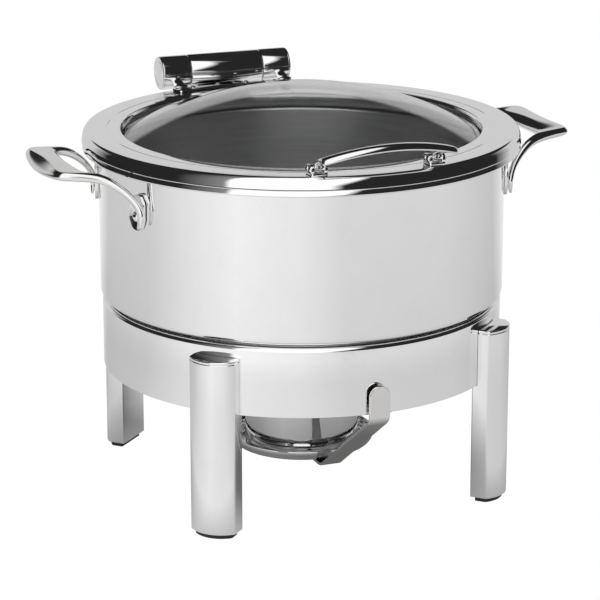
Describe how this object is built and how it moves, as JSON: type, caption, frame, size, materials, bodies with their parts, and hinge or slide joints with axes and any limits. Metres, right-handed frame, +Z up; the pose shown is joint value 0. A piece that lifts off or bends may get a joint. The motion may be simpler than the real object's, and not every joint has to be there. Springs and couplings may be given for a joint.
{
  "type": "round soup chafer",
  "caption": "Round polished steel soup chafer with a hinged glass-domed lid, two side handles, a four-leg stand and a slide-out fuel cup.",
  "frame": {"origin": "on the table, under the middle of the whole object's bounding box; the vessel's own axis is 8 mm in front of it", "axes": "+X towards the right-hand carrying handle, -Y towards the front, where the lid handle and the fuel pull tab are, +Z up"},
  "size_m": [0.52, 0.459, 0.38],
  "materials": {
    "polished_steel": "mirror polished stainless steel",
    "satin_steel": "satin stainless steel",
    "black_rubber": "matt",
    "damper_plastic": "matt",
    "clear_glass": "clear tempered"
  },
  "bodies": {
    "stand": {"stand_skirt": "polished_steel", "leg_front_left": "polished_steel", "leg_front_right": "polished_steel", "leg_rear_left": "polished_steel", "leg_rear_right": "polished_steel", "foot_front_left": "black_rubber", "foot_front_right": "black_rubber", "foot_rear_left": "black_rubber", "foot_rear_right": "black_rubber", "leg_screws": "satin_steel", "fuel_rail_left": "satin_steel", "fuel_rail_right": "satin_steel", "rail_tie": "satin_steel", "rail_rivets": "satin_steel"},
    "fuel_holder": {"fuel_cup": "polished_steel", "drip_tray": "polished_steel", "pull_strap": "polished_steel", "strap_rivets": "satin_steel"},
    "chafer": {"water_pan": "polished_steel", "base_disc": "satin_steel", "pan_ledge": "satin_steel", "food_pan": "satin_steel", "side_handle_left": "polished_steel", "side_handle_right": "polished_steel", "handle_rivets": "polished_steel", "hinge_bracket": "polished_steel", "bracket_rivets": "polished_steel", "hinge_barrel": "polished_steel", "hinge_axle": "satin_steel", "damper_left": "damper_plastic", "damper_right": "damper_plastic"},
    "lid": {"lid_ring": "polished_steel", "lid_seal": "black_rubber", "glass_dome": "clear_glass", "glass_gasket": "black_rubber", "glass_retainer": "satin_steel", "retainer_screws": "satin_steel", "hinge_knuckle_left": "polished_steel", "hinge_knuckle_right": "polished_steel", "hinge_cap_left": "polished_steel", "hinge_cap_right": "polished_steel", "hinge_plate": "polished_steel", "hinge_screws": "polished_steel", "lid_handle": "polished_steel", "handle_foot_left": "polished_steel", "handle_foot_right": "polished_steel", "handle_pins": "polished_steel"}
  },
  "joints": [
    {"name": "chafer_lift", "type": "slide", "parent": "stand", "child": "chafer", "axis": [0, 0, 1], "range_m": [0, 0.12]},
    {"name": "lid_hinge", "type": "hinge", "parent": "chafer", "child": "lid", "pos_m": [0, 0.214, 0.355], "axis": [-1, 0, 0], "range_deg": [0, 90]},
    {"name": "fuel_slide", "type": "slide", "parent": "stand", "child": "fuel_holder", "axis": [0, -1, 0], "range_m": [0, 0.1]}
  ]
}
